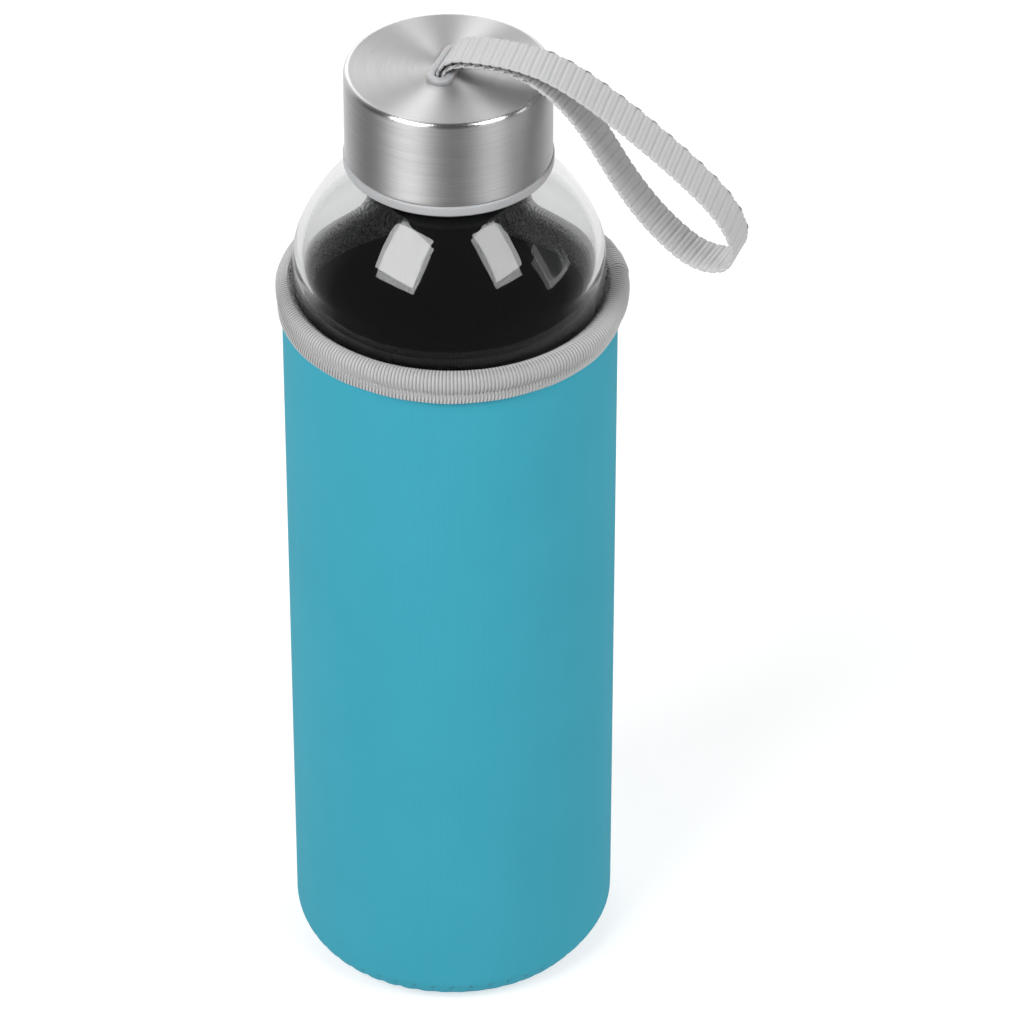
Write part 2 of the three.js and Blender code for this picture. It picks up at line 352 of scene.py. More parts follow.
def thread_rise(height, turn, start_turn, turns):
    """How far a thread stands out, from 0 to 1, at each height and direction."""
    rise = np.zeros(np.broadcast(height, turn).shape)
    first = ((turn - start_turn) % TURN) / TURN
    for lap in range(math.ceil(turns) + 1):
        along = first + lap
        fade = ease(along / thread_run_out) * ease((turns - along) / thread_run_out)
        rise += bell(height - (thread_start + thread_pitch * along), thread_width) * fade
    return rise


def glass_bottle():
    """The bottle in one spun wall, from the punt over the outside, the lip and back down the inside."""
    steps = 512
    inner = glass_radius - glass_wall
    inner_corner = 6
    inner_floor = glass_low.z + glass_floor
    lip = 0.8
    bead_height = 2
    punt_radius = np.linspace(0, bearing_radius, 13)
    punt = np.stack(
        [punt_radius, glass_low.z + punt_depth * np.cos(punt_radius / bearing_radius * math.pi / 2) ** 2],
        axis=1,
    )
    bead_turn = np.linspace(0, math.pi, 13)
    bead = np.stack(
        [
            neck_radius + (bead_radius - neck_radius) * np.sin(bead_turn),
            neck_start + bead_height * bead_turn / math.pi,
        ],
        axis=1,
    )
    profile = outline(
        punt,
        arc(corner_centre, glass_low.z + glass_corner, glass_corner, -90, 0, 12),
        line((glass_radius, glass_low.z + glass_corner), (glass_radius, shoulder_start), 12),
        shoulder(glass_radius, neck_radius, neck_start),
        bead,
        line((neck_radius, neck_start + bead_height), (neck_radius, neck_top - lip), 44),
        arc(neck_radius - lip, neck_top - lip, lip, 0, 90, 6),
        arc(neck_bore + lip, neck_top - lip, lip, 90, 180, 6),
        shoulder(inner, neck_bore, neck_start - glass_wall / 2)[::-1],
        line((inner, shoulder_start), (inner, inner_floor + inner_corner), 12),
        arc(inner - inner_corner, inner_floor + inner_corner, inner_corner, 0, -90, 12),
        (0, inner_floor),
    )
    rows = spin(profile, steps)
    on_neck = np.abs(profile[:, 0] - neck_radius) < 1e-6
    on_neck &= (profile[:, 1] > neck_start + bead_height) & (profile[:, 1] < neck_top - lip + 0.01)
    rise = thread_rise(profile[on_neck, 1:], ring_angles(steps), 0, neck_thread_turns)
    set_radius(rows, on_neck, neck_radius + thread_depth * rise)
    return mesh("bottle_glass", rows)


# ---- The lid ----

def obround_reach(length, width, turn):
    """Distance from the centre to the edge of an obround slot, in each direction."""
    half_straight = (length - width) / 2
    end = width / 2
    along = np.abs(np.cos(turn - slot_angle))
    across = np.abs(np.sin(turn - slot_angle))
    on_side = end * along <= half_straight * across
    to_side = end / np.maximum(across, 1e-9)
    to_end = half_straight * along + np.sqrt(np.maximum(end**2 - (half_straight * across) ** 2, 0))
    return np.where(on_side, to_side, to_end)


def lid_shell():
    """The spun steel cup: a flat top with a slot, a small round edge and a straight skirt."""
    steps = 256
    turn = ring_angles(steps)
    margin = 1.0
    hole = obround_reach(slot_length + 2 * margin, slot_width + 2 * margin, turn)
    inner = shell_radius - shell_wall
    inner_edge = shell_edge - shell_wall
    outside = outline(
        arc(shell_radius - shell_edge, shell_top - shell_edge, shell_edge, 90, 0, 12),
        line((shell_radius, shell_top - shell_edge), (shell_radius, shell_low.z + skirt_edge), 20),
        arc(shell_radius - skirt_edge, shell_low.z + skirt_edge, skirt_edge, 0, -90, 3),
        (inner, shell_low.z),
        line((inner, shell_low.z + 0.3), (inner, shell_under - inner_edge), 20),
        arc(inner - inner_edge, shell_under - inner_edge, inner_edge, 0, 90, 8),
    )

    def flat_ring(share, edge, height):
        """A ring of the flat top between the slot, at 0, and the round edge, at 1."""
        reach = hole + (edge - hole) * share
        return np.stack([reach * np.cos(turn), reach * np.sin(turn), 0 * turn + height], axis=-1)

    shares = np.linspace(0, 1, 20, endpoint=False)
    rows = [flat_ring(share, outside[0, 0], shell_top) for share in shares]
    rows.extend(spin(outside, steps))
    rows.extend(flat_ring(share, outside[-1, 0], shell_under) for share in shares[::-1])
    return mesh("lid_steel_shell", rows, closed=True)


def inner_cap():
    """The moulded cap inside the shell, with its thread. Its foot shows as a ring below the steel."""
    steps = 256
    foot = cap_high.x
    foot_top = shell_low.z - 0.12
    body = shell_radius - shell_wall - cap_clearance
    ceiling = cap_high.z - cap_plate
    edge = 0.5
    mouth_bevel = 0.6
    top_bevel = 0.8
    profile = outline(
        line((0, ceiling), (cap_bore, ceiling), 8),
        line((cap_bore, ceiling), (cap_bore, cap_low.z + mouth_bevel), 60),
        (cap_bore + mouth_bevel, cap_low.z),
        arc(foot - edge, cap_low.z + edge, edge, -90, 0, 6),
        arc(foot - edge, foot_top - edge, edge, 0, 90, 6),
        line((body, foot_top), (body, cap_high.z - top_bevel), 8),
        (body - top_bevel, cap_high.z),
        (0, cap_high.z),
    )
    rows = spin(profile, steps)
    in_bore = np.abs(profile[:, 0] - cap_bore) < 1e-6
    rise = thread_rise(profile[in_bore, 1:], ring_angles(steps), math.pi, cap_thread_turns)
    set_radius(rows, in_bore, cap_bore - thread_depth * rise)
    return mesh("cap_insert", rows)


def seal_ring():
    """The silicone ring, with a shallow groove pressed into it by the glass's lip."""
    inner = 13.5
    outer = seal_high.x
    edge = 0.35
    dent = 0.2
    slope = 0.5
    profile = outline(
        arc(inner + edge, seal_low.z + edge, edge, 180, 270, 5),
        arc(outer - edge, seal_low.z + edge, edge, 270, 360, 5),
        arc(outer - edge, seal_high.z - edge, edge, 0, 90, 5),
        line((neck_radius + slope, seal_high.z), (neck_radius, seal_high.z - dent), 2),
        line((neck_bore + slope, seal_high.z - dent), (neck_bore, seal_high.z), 2),
        arc(inner + edge, seal_high.z - edge, edge, 90, 180, 5),
    )
    return mesh("silicone_seal", spin(profile, 192), closed=True)


def obround_ring(offset, height, steps=96):
    """A ring of points round the strap's slot, offset outwards from its edge."""
    turn = ring_angles(steps) + TURN / steps / 2
    half_straight = (slot_length - slot_width) / 2
    reach = slot_width / 2 + offset
    across = reach * np.cos(turn)
    along = reach * np.sin(turn) + half_straight * np.sign(np.sin(turn))
    return across[:, None] * strap_out + along[:, None] * strap_across + height * up


def strap_grommet():
    """The moulded lining of the slot: a rounded rim on the steel and a sleeve down through it."""
    wall = 0.7
    rim = 1.5
    top = grommet_high.z
    edge = 0.5
    foot = shell_top + 0.08
    lip = -0.22
    flare = 0.7
    flare_top = grommet_low.z + 0.6
    profile = outline(
        line((0, grommet_low.z), (0, top - 1.2), 6),
        arc(lip + edge, top - edge, edge, 190, 90, 7),
        arc(rim - edge, top - edge, edge, 90, 0, 7),
        (rim, foot + 0.1),
        (rim - 0.1, foot),
        (wall, foot),
        (wall, flare_top),
        (wall + flare, flare_top),
        (wall + flare, grommet_low.z),
    )
    rows = [obround_ring(offset, height) for offset, height in profile]
    return mesh("slot_grommet", rows, closed=True)


# ---- The carry strap ----

def strap_line(spacing):
    """The strap's route as evenly spaced points and directions in its upright plane, and its length."""
    knots = np.array([strap_route[0], *strap_route, strap_route[-1]])
    t = np.linspace(0, 1, 24, endpoint=False)[:, None]
    points = []
    for before, start, end, after in zip(knots, knots[1:], knots[2:], knots[3:]):
        leave = (end - before) / 2
        arrive = (after - start) / 2
        cubic = 2 * start - 2 * end + leave + arrive
        square = -3 * start + 3 * end - 2 * leave - arrive
        points.append(cubic * t**3 + square * t**2 + leave * t + start)
    points = np.concatenate([*points, knots[-1:]])
    travelled = np.concatenate([[0], np.cumsum(np.linalg.norm(np.diff(points, axis=0), axis=1))])
    stations = np.linspace(0, travelled[-1], round(travelled[-1] / spacing) + 1)
    even = np.stack([np.interp(stations, travelled, points[:, axis]) for axis in (0, 1)], axis=1)
    along = np.gradient(even, axis=0)
    along /= np.linalg.norm(along, axis=1)[:, None]
    return even, along, stations


def in_space(point, across=0):
    """A point of the strap's plane, and points beside it, in the object's space."""
    return point[..., :1] * strap_out + point[..., 1:] * up + np.asarray(across)[..., None] * strap_across


def strap_section():
    """One section of the webbing: place across the width, and side of the thickness from -1 to 1."""
    half = strap_width / 2 - 0.35
    face = np.linspace(-half, half, 40)
    bend = np.linspace(-math.pi / 2, math.pi / 2, 7)[1:-1]
    bulge = 0.32 * np.cos(bend)
    across = np.concatenate([face, half + bulge, face[::-1], -half - bulge])
    side = np.concatenate([0 * face + 1, -np.sin(bend), 0 * face - 1, np.sin(bend)])
    return across, side


def carry_strap():
    """The loop of webbing: a section with ribs across it, swept along the strap's route."""
    even, along, stations = strap_line(0.16)
    lean = np.stack([-along[:, 1], along[:, 0]], axis=1)
    across, side = strap_section()
    rib_slant = 0.1
    warp_pitch = 0.42
    place = (stations[:, None] + rib_slant * across) / rib_pitch
    from_groove = (place + 0.5) % 1 - 0.5
    groove = bell(from_groove, 0.13) + 0.4 * bell(place % 1 - 0.5, 0.1)
    warp = 0.018 * np.cos(across / warp_pitch * TURN) * np.cos(2 * place * TURN)
    half_thickness = strap_thickness / 2 * (0.98 - 0.6 * groove) + warp
    edge = 1 - 0.028 * bell(from_groove, 0.2)
    lift = (side * half_thickness)[..., None]
    flat = even[:, None, :] + lean[:, None, :] * lift
    return mesh("webbing_loop", in_space(flat, across * edge), capped=True)


def strap_loops():
    """The webbing's edge thread: spaced dashes on its far edge, and closer ones on its near edge by the slot.

    A dash is a rib's number, the edge that it is on, and how far it reaches each way.
    """
    even, along, _ = strap_line(rib_pitch)
    lean = np.stack([-along[:, 1], along[:, 0]], axis=1)
    share = np.linspace(-1, 1, 7)[:, None]
    last = len(even) - 1
    by_slot = 12
    dashes = [(place, 1, 0.72) for place in range(by_slot + 1, last - by_slot, 2)]
    dashes += [(place, -1, 0.5) for place in range(2, last - 1) if min(place, last - place) < by_slot]
    routes = []
    for place, edge, reach in dashes:
        slide = reach * share * along[place]
        lift = edge * (0.34 - 0.16 * share**2) * lean[place]
        across = edge * (strap_width / 2 - 0.2 + 0.08 * share[:, 0])
        routes.append(in_space(even[place] + slide + lift, across))
    return threads("webbing_edge_loops", routes, 0.13)


# ---- The sleeve ----

def rim_lift(turn):
    """The rim sits a little higher on one side."""
    return -rim_tilt * sleeve_top_radius * np.cos(turn)


def rim_offset(height):
    """How far the rim is moved along X at a height: nothing at the hem, and all of it at the roll."""
    return rim_shift * ease((height - hem_height) / 3)


def sleeve_radius(height):
    """Outside radius of the sleeve's side at a height."""
    return np.interp(height, [corner_radius, hem_height], [sleeve_bottom_radius, sleeve_top_radius])


def corner_crease(corner_turn, turn):
    """How far the corner is pressed in on one side, at degrees round it and ring directions."""
    depth = 1.1
    middle = math.radians(-20)
    return depth * bell(corner_turn + 42, 26) * bell(away_from(turn, middle), 0.5)


def base_puckers(corner_turn, turn):
    """How far the base stitches and the crease draw the cloth in."""
    at_stitch = (1 + np.cos(base_stitches * turn)) / 2
    hole = 0.3 * bell(corner_turn - stitch_turn, 5) * at_stitch**12
    scallop = 0.22 * bell(corner_turn + 48, 18) * at_stitch**2
    return hole + scallop + corner_crease(corner_turn, turn)


def side_panel():
    """The wrapped panel of neoprene, pressed in along its back seam and where the base is sewn on."""
    steps = 20 * base_stitches
    turn = ring_angles(steps)
    inner = lining_high.y + cloth_gap
    corner = np.linspace(side_end, 0, 26)
    top = panel_high.z
    outside = outline(
        arc(corner_centre, corner_radius, corner_radius, side_end, 0, len(corner) - 1),
        line((sleeve_bottom_radius, corner_radius), (sleeve_top_radius, hem_height), 60),
        (sleeve_top_radius, top),
    )
    profile = outline(
        outside,
        (inner, top),
        line((inner, hem_height), (inner, corner_radius), 4),
        arc(corner_centre, corner_radius, inner - corner_centre, 0, side_end, 10),
    )
    push = np.zeros((len(profile), steps))
    push[: len(corner)] -= base_puckers(corner[:, None], turn)
    seam = away_from(turn, seam_angle) * sleeve_top_radius
    valley = 0.4 * bell(seam, 0.45)
    ridges = 0.12 * bell(np.abs(seam) - 1.3, 0.8)
    sway = 0.06 * np.sin(3 * turn + 0.9) + 0.05 * np.sin(5 * turn)
    push[: len(outside)] += ridges - valley + sway
    return mesh("sleeve_side", spin(profile, steps, push), closed=True)


def base_panel():
    """The disc of neoprene, turned up round the corner to its seam."""
    steps = 10 * base_stitches
    turn = ring_angles(steps)
    skin = 1.3
    corner = np.linspace(-90, base_start, 13)
    outside = outline(
        line((0, 0), (corner_centre, 0), 14),
        arc(corner_centre, corner_radius, corner_radius, -90, base_start, len(corner) - 1),
    )
    profile = outline(
        outside,
        arc(corner_centre, corner_radius, corner_radius - skin, base_start, -90, 8),
        (0, skin),
    )
    push = np.zeros((len(profile), steps))
    on_corner = slice(len(outside) - len(corner), len(outside))
    push[on_corner] -= base_puckers(corner[:, None], turn)
    return mesh("sleeve_base", spin(profile, steps, push))


def side_lining():
    outer = lining_high.y
    inner = outer - jersey_thickness
    top = lining_high.z - 0.2
    profile = outline(
        arc(corner_centre, corner_radius, outer - corner_centre, side_end, 0, 8),
        line((outer, corner_radius), (outer, top), 30),
        line((inner, top), (inner, corner_radius), 30),
        arc(corner_centre, corner_radius, inner - corner_centre, 0, side_end, 8),
    )
    return mesh("lining_side", spin(profile, 256), closed=True)


def base_lining():
    low = base_lining_low.z
    high = low + jersey_thickness
    outer = corner_radius - low
    inner = corner_radius - high
    profile = outline(
        line((0, low), (corner_centre, low), 12),
        arc(corner_centre, corner_radius, outer, -90, base_start, 8),
        arc(corner_centre, corner_radius, inner, base_start, -90, 8),
        line((corner_centre, high), (0, high), 12),
    )
    return mesh("lining_base", spin(profile, 256))


def binding_outline():
    """The tape's section: a flat hem, the stitched groove, a fat roll and the leg inside."""
    inside = lining_high.y - 0.36
    inner_leg = inside + 0.5
    leg_bottom = lining_high.z - 0.5
    outer_leg = sleeve_top_radius + 0.12
    hem = sleeve_top_radius + 1.05
    return outline(
        arc(hem - 0.9, hem_height + 0.9, 0.9, -90, 0, 5),
        line((hem + 0.04, hem_height + 1.2), (hem, groove_height - 0.6), 5),
        line((hem - 0.12, groove_height - 0.25), (sleeve_top_radius + 0.8, groove_height), 3),
        arc(roll_centre, roll_height, roll_radius, -44, 125, 34),
        arc(roll_centre, roll_height, roll_radius, 135, 165, 5),
        line((inside, roll_height - 0.6), (inside, leg_bottom), 12),
        (inner_leg, leg_bottom),
        (inner_leg, panel_high.z + 0.2),
        (outer_leg, panel_high.z + 0.2),
        (outer_leg, hem_height),
    )


def tape_overlap(turn):
    """1 where the tape's folded end lies over its start, 0 elsewhere."""
    distance = away_from(turn, seam_angle) * sleeve_top_radius
    return ease((distance + 8) / 1.5) * ease((-0.5 - distance) / 0.8)


def top_binding():
    """The ribbed tape. Its hidden foot has no ribs, and only its outside bulges and leans outwards."""
    steps = tape_ribs * 8
    turn = ring_angles(steps)
    profile = binding_outline()
    outer_rows = 45
    foot_rows = 4
    overlap = tape_overlap(turn)
    rib = np.abs(np.sin(tape_ribs * turn / 2)) ** 0.7
    depth = np.full((len(profile), 1), 0.24)
    depth[-foot_rows:] = 0
    push = depth * (rib - 1) * (1 - 0.85 * overlap)
    bulge = np.zeros((len(profile), 1))
    bulge[:outer_rows] = 1
    push = push + bulge * (0.3 * overlap + 0.05 * np.sin(7 * turn) + 0.03 * np.sin(19 * turn))
    rows = spin(profile, steps, push, rim_lift(turn))
    rows[:, :, 0] += bulge * rim_offset(profile[:, 1:])
    return mesh("rim_binding", rows, closed=True)


def binding_stitches():
    """Short, slightly uneven stitches along the groove."""
    count = round(TURN * sleeve_top_radius / stitch_pitch)
    radius = sleeve_top_radius + 0.85
    shift = np.array([rim_offset(stitch_level), 0, 0])
    random = np.random.default_rng(5)
    routes = []
    for place in range(count):
        middle = (place + 0.16 * random.standard_normal()) * TURN / count
        half = 1.0 / radius * (1 + 0.2 * random.standard_normal())
        slant = 0.12 * random.standard_normal()
        route = []
        for share in np.linspace(-1, 1, 7):
            turn = middle + half * share
            sink = 0.42 * abs(share) ** 3
            height = groove_height + slant * share + rim_lift(turn)
            route.append(at(radius - sink, turn, height) + shift)
        routes.append(route)
    return threads("binding_thread", routes, 0.13)


def overlap_stitches():
    """The zigzag that tacks the tape's overlap down over the roll."""
    reach = roll_radius + 0.02
    routes = []
    for row in range(9):
        place = seam_angle + (row - 1) * 0.42 / sleeve_top_radius
        route = []
        for share in np.linspace(0, 1, 12):
            bend = math.radians(-40 + 150 * share)
            turn = place + 0.25 / sleeve_top_radius * (share - 0.5) * (-1) ** row
            height = roll_height + reach * math.sin(bend) + rim_lift(turn)
            radius = roll_centre + rim_shift + reach * math.cos(bend)
            route.append(at(radius, turn, height))
        routes.append(route)
    return threads("binding_bar_tack", routes, 0.13)


def base_seam_stitches():
    """Short stitches that cross from the side panel to the base round the corner."""
    sink = 0.3
    routes = []
    for place in range(base_stitches):
        turn = place * TURN / base_stitches
        route = []
        for corner_turn in np.linspace(stitch_turn + 3, stitch_turn - 3, 5):
            bend = math.radians(corner_turn)
            reach = corner_radius - sink - corner_crease(corner_turn, turn)
            radius = corner_centre + reach * math.cos(bend)
            route.append(at(radius, turn, corner_radius + reach * math.sin(bend)))
        routes.append(route)
    return threads("base_seam_thread", routes, 0.17)


def side_seam_stitches():
    """The zigzag that joins the panel's two edges up the back."""
    bottom = corner_radius
    top = hem_height - 0.4
    pitch = 0.9
    reach = 0.95
    rows = round((top - bottom) / pitch)
    route = []
    for place in range(rows + 1):
        height = bottom + (top - bottom) * place / rows
        side = reach * (-1) ** place
        radius = sleeve_radius(height) + 0.12
        route.append(at(radius, seam_angle + side / radius, height))
    return threads("side_seam_thread", [route], 0.14)


# ---- Materials ----

def material(name, **sockets):
    """A Principled material. Each keyword sets the socket of that name."""
    made = bpy.data.materials.new(name)
    made.use_nodes = True
    shader = made.node_tree.nodes["Principled BSDF"]
    for key, value in sockets.items():
        shader.inputs[key.replace("_", " ").title().replace("Ior", "IOR")].default_value = value
    return made


def node(made, kind, inputs=None, **settings):
    """A node with its inputs set, or linked where a value is another node's output."""
    added = made.node_tree.nodes.new("ShaderNode" + kind)
    for key, value in settings.items():
        setattr(added, key, value)
    for key, value in (inputs or {}).items():
        if isinstance(value, bpy.types.NodeSocket):
            made.node_tree.links.new(value, added.inputs[key])
        else:
            added.inputs[key].default_value = value
    return added


def feed(made, **links):
    """Links outputs to the Principled shader's sockets."""
    shader = made.node_tree.nodes["Principled BSDF"]
    for key, value in links.items():
        made.node_tree.links.new(value, shader.inputs[key.replace("_", " ").title()])


def place(made, kind="Object"):
    return node(made, "TexCoord").outputs[kind]


def noise(made, where, scale, detail=2.0, roughness=0.5):
    inputs = {"Vector": where, "Scale": scale, "Detail": detail, "Roughness": roughness}
    return node(made, "TexNoise", inputs).outputs["Fac"]


def stretched(made, where, x, y, z):
    """Coordinates scaled differently along each axis."""
    return node(made, "Mapping", {"Vector": where, "Scale": (x, y, z)}).outputs["Vector"]


def wave(made, where, direction, period):
    """A sine along X or Y of the coordinates, with a period in metres."""
    settings = {"wave_type": "BANDS", "bands_direction": direction, "wave_profile": "SIN"}
    cycle = TURN / 20
    return node(made, "TexWave", {"Vector": where, "Scale": cycle / period}, **settings).outputs["Fac"]


def span(made, value, low, high, from_low=0.0, from_high=1.0):
    """A number moved from one range to another."""
    inputs = {"Value": value, "From Min": from_low, "From Max": from_high, "To Min": low, "To Max": high}
    return node(made, "MapRange", inputs).outputs["Result"]


def math_node(made, operation, *values):
    return node(made, "Math", dict(enumerate(values)), operation=operation).outputs["Value"]


def weighed(made, first, weight, second):
    """The two numbers' mean, with the first weighed by its weight and the second by the rest."""
    kept = math_node(made, "MULTIPLY", first, weight)
    added = math_node(made, "MULTIPLY", second, 1 - weight)
    return math_node(made, "ADD", kept, added)


def vector_node(made, operation, *values):
    return node(made, "VectorMath", dict(enumerate(values)), operation=operation).outputs["Vector"]


def axis_distance(made, where):
    """The distance from the upright axis, and the flat vector from the axis that has this length."""
    flat = vector_node(made, "MULTIPLY", where, (1, 1, 0))
    return node(made, "VectorMath", {0: flat}, operation="LENGTH").outputs["Value"], flat


def grey(value):
    return (value, value, value)


def blend_colours(made, share, first, second):
    """A mix of two colours. The Mix node's colour sockets are inputs 6 and 7 and output 2."""
    mixer = node(made, "Mix", {"Factor": share}, data_type="RGBA")
    for socket, value in ((mixer.inputs[6], first), (mixer.inputs[7], second)):
        if isinstance(value, bpy.types.NodeSocket):
            made.node_tree.links.new(value, socket)
        else:
            socket.default_value = (*value, 1)
    return mixer.outputs[2]


def bump(made, height, distance, strength):
    inputs = {"Height": height, "Distance": distance, "Strength": strength}
    return node(made, "Bump", inputs).outputs["Normal"]


def clear_glass():
    """Clear glass with a faint waviness and a thin, uneven film."""
    made = material("clear_glass", roughness=0.0, ior=1.5, transmission_weight=1.0)
    where = place(made)
    sway = noise(made, stretched(made, where, 60, 60, 25), 1, 2)
    film = noise(made, where, 140, 4)
    feed(
        made,
        base_color=blend_colours(made, film, (0.925, 0.93, 0.928), (0.90, 0.91, 0.907)),
        roughness=span(made, film, 0.0, 0.02, 0.35, 0.75),
        normal=bump(made, sway, 0.0004, 0.12),
    )
    return made


def brushed_steel(name, fine, tone, roughness):
    """Steel brushed round the axis: streaks that run with the ring and change from line to line.

    fine is how many lines there are in a metre across them. The shell's round edge is polished, and its
    flat top gets a painted shade: a darker colour that dims the highlights on it.
    """
    made = material(name, metallic=1.0, anisotropic=0.86, anisotropic_rotation=0.25)
    where = place(made)
    radius, flat = axis_distance(made, where)
    height = node(made, "SeparateXYZ", {0: where}).outputs["Z"]
    line_place = math_node(made, "MULTIPLY", math_node(made, "SUBTRACT", radius, height), fine)
    turned = vector_node(made, "MULTIPLY", vector_node(made, "NORMALIZE", flat), (1.6, 1.6, 0))
    lifted = node(made, "CombineXYZ", {"Z": line_place}).outputs["Vector"]
    streaks = noise(made, vector_node(made, "ADD", turned, lifted), 1.0, 5, 0.62)
    cloud = noise(made, where, 160, 3)
    dark, light = tone
    shade = blend_colours(made, span(made, streaks, 0, 1, 0.3, 0.7), dark, light)
    dimmed = blend_colours(made, span(made, cloud, 0, 0.25), shade, dark)
    edge_start = shell_edge * MM
    edge_full = shell_edge / 2 * MM
    on_top = span(made, height, 0, 1, shell_top * MM - edge_start, shell_top * MM - edge_full)
    on_rim = span(made, radius, 0, 1, shell_radius * MM - edge_start, shell_radius * MM - edge_full)
    on_edge = math_node(made, "MULTIPLY", on_rim, on_top)
    brushed = span(made, streaks, roughness - 0.04, roughness + 0.05, 0.3, 0.7)
    polish = math_node(made, "MULTIPLY", on_edge, 0.34)
    # Painted shade: the flat top's colour is darkened towards a duller grey, but not at the polished edge.
    painted_shade_on_top = math_node(made, "MULTIPLY", math_node(made, "SUBTRACT", on_top, on_edge), 0.8)
    painted_shade_grey = tuple(0.82 * part for part in dark)
    feed(
        made,
        base_color=blend_colours(made, painted_shade_on_top, dimmed, painted_shade_grey),
        roughness=math_node(made, "SUBTRACT", brushed, polish),
        normal=bump(made, streaks, 0.00001, 0.3),
        tangent=node(made, "Tangent", direction_type="RADIAL", axis="Z").outputs["Tangent"],
    )
    return made


def grey_plastic():
    """Moulded light grey plastic with a fine matt grain."""
    made = material("grey_plastic", subsurface_weight=0.15, subsurface_scale=0.002, roughness=0.35)
    where = place(made)
    grain = noise(made, where, 2600, 3)
    cloud = noise(made, where, 90, 2)
    feed(
        made,
        base_color=blend_colours(made, cloud, (0.37, 0.375, 0.385), (0.43, 0.435, 0.445)),
        roughness=span(made, grain, 0.28, 0.42),
        normal=bump(made, grain, 0.00003, 0.4),
    )
    return made


def silicone():
    """Soft white silicone, slightly see-through."""
    made = material("silicone", subsurface_weight=0.3, subsurface_scale=0.003)
    where = place(made)
    grain = noise(made, where, 1800, 3)
    feed(
        made,
        base_color=blend_colours(made, grain, (0.78, 0.78, 0.76), (0.86, 0.86, 0.84)),
        roughness=span(made, grain, 0.5, 0.65),
        normal=bump(made, grain, 0.00004, 0.4),
    )
    return made


def webbing():
    """Polyester webbing: warp threads along the strap, bound by crosswise ribs."""
    made = material("webbing", sheen_weight=0.25, sheen_roughness=0.4, roughness=0.55)
    where = place(made, "UV")
    warp = wave(made, where, "X", 0.00042)
    weft = wave(made, where, "Y", 0.00032)
    fibre = noise(made, stretched(made, where, 5200, 900, 1), 1, 3)
    cloud = noise(made, place(made), 260, 2)
    weave = math_node(made, "MULTIPLY", warp, span(made, weft, 0.6, 1.0))
    shade = blend_colours(made, weave, (0.37, 0.37, 0.374), (0.59, 0.59, 0.594))
    feed(
        made,
        base_color=blend_colours(made, span(made, fibre, 0, 0.5), shade, (0.59, 0.59, 0.594)),
        roughness=span(made, cloud, 0.45, 0.6),
        normal=bump(made, math_node(made, "ADD", weave, fibre), 0.00005, 0.6),
    )
    return made


def knit(name, low, high, columns, course, sheen):
    """Fine jersey: columns up the sleeve and short courses across them, with a soft nap."""
    made = material(name, sheen_weight=sheen, sheen_roughness=0.5, roughness=0.85)
    made.node_tree.nodes["Principled BSDF"].inputs["Specular IOR Level"].default_value = 0.15
    where = place(made, "UV")
    wale = wave(made, where, "X", columns)
    row = wave(made, where, "Y", course)
    fuzz = noise(made, place(made), 2400, 3)
    patch = noise(made, place(made), 45, 3)
    loops = math_node(made, "MULTIPLY", wale, span(made, row, 0.55, 1.0))
    mixed = weighed(made, loops, 0.5, fuzz)
    share = weighed(made, mixed, 0.6, patch)
    feed(
        made,
        base_color=blend_colours(made, span(made, share, 0, 1, 0.2, 0.8), low, high),
        roughness=span(made, fuzz, 0.8, 0.95),
        normal=bump(made, mixed, 0.00006, 0.5),
    )
    return made


def grey_tape():
    """Ribbed light grey tape, with a painted shade in the grooves between its ribs. Its inner side, against
    the glass, is a dark heather.
    """
    made = material("grey_tape", sheen_weight=0.15, sheen_roughness=0.4, roughness=0.6)
    where = place(made)
    radius, _ = axis_distance(made, where)
    split = node(made, "SeparateXYZ", {0: where}).outputs
    turn = math_node(made, "ARCTAN2", split["Y"], split["X"])
    half_turns = math_node(made, "MULTIPLY", turn, tape_ribs / 2)
    rib = math_node(made, "ABSOLUTE", math_node(made, "SINE", half_turns))
    fibre = noise(made, stretched(made, where, 3200, 3200, 900), 1, 3)
    cloud = noise(made, where, 300, 2)
    crest = blend_colours(made, fibre, grey(0.42), grey(0.54))
    # Painted shade: the grooves between the ribs are darkened to a dark grey.
    light = blend_colours(made, span(made, rib, 0, 1, 0.1, 0.75), grey(0.2), crest)
    speck = noise(made, where, 2400, 4, 0.7)
    heather = blend_colours(made, span(made, speck, 0, 1, 0.4, 0.65), (0.05, 0.05, 0.052), (0.52, 0.52, 0.53))
    inner = (lining_high.y + 0.15) * MM
    outside = span(made, radius, 0, 1, inner, inner + 0.0004)
    feed(
        made,
        base_color=blend_colours(made, outside, heather, light),
        roughness=span(made, cloud, 0.5, 0.7),
        normal=bump(made, fibre, 0.00004, 0.5),
    )
    return made


def thread(name, low, high):
    """Sewing thread, mottled by its plies."""
    made = material(name, sheen_weight=0.2, roughness=0.5)
    ply = noise(made, stretched(made, place(made), 4200, 4200, 4200), 1, 2)
    feed(
        made,
        base_color=blend_colours(made, ply, low, high),
        roughness=span(made, ply, 0.45, 0.65),
        normal=bump(made, ply, 0.00004, 0.6),
    )
    return made


def pale_floor():
    """A plain pale floor that also glows a little, so that it reads as white."""
    made = material("pale_floor", roughness=0.9)
    where = place(made)
    grain = noise(made, where, 30, 2)
    shader = made.node_tree.nodes["Principled BSDF"]
    shader.inputs["Emission Color"].default_value = (1, 1, 1, 1)
    shader.inputs["Emission Strength"].default_value = 0.62
    shader.inputs["Specular IOR Level"].default_value = 0.0
    feed(made, base_color=blend_colours(made, grain, grey(0.46), grey(0.48)))
    return made


# ---- Stage ----

def floor():
    """A disc far wider than any view, left out of the reflections and of what is seen through glass."""
    radius = 6000
    turn = ring_angles(64)
    ring = np.stack([np.cos(turn), np.sin(turn), 0 * turn], axis=-1)
    made = mesh("floor", [ring * radius * share for share in (0, 0.1, 1)])
    made.data.materials.append(pale_floor())
    made.visible_glossy = False
    made.visible_transmission = False


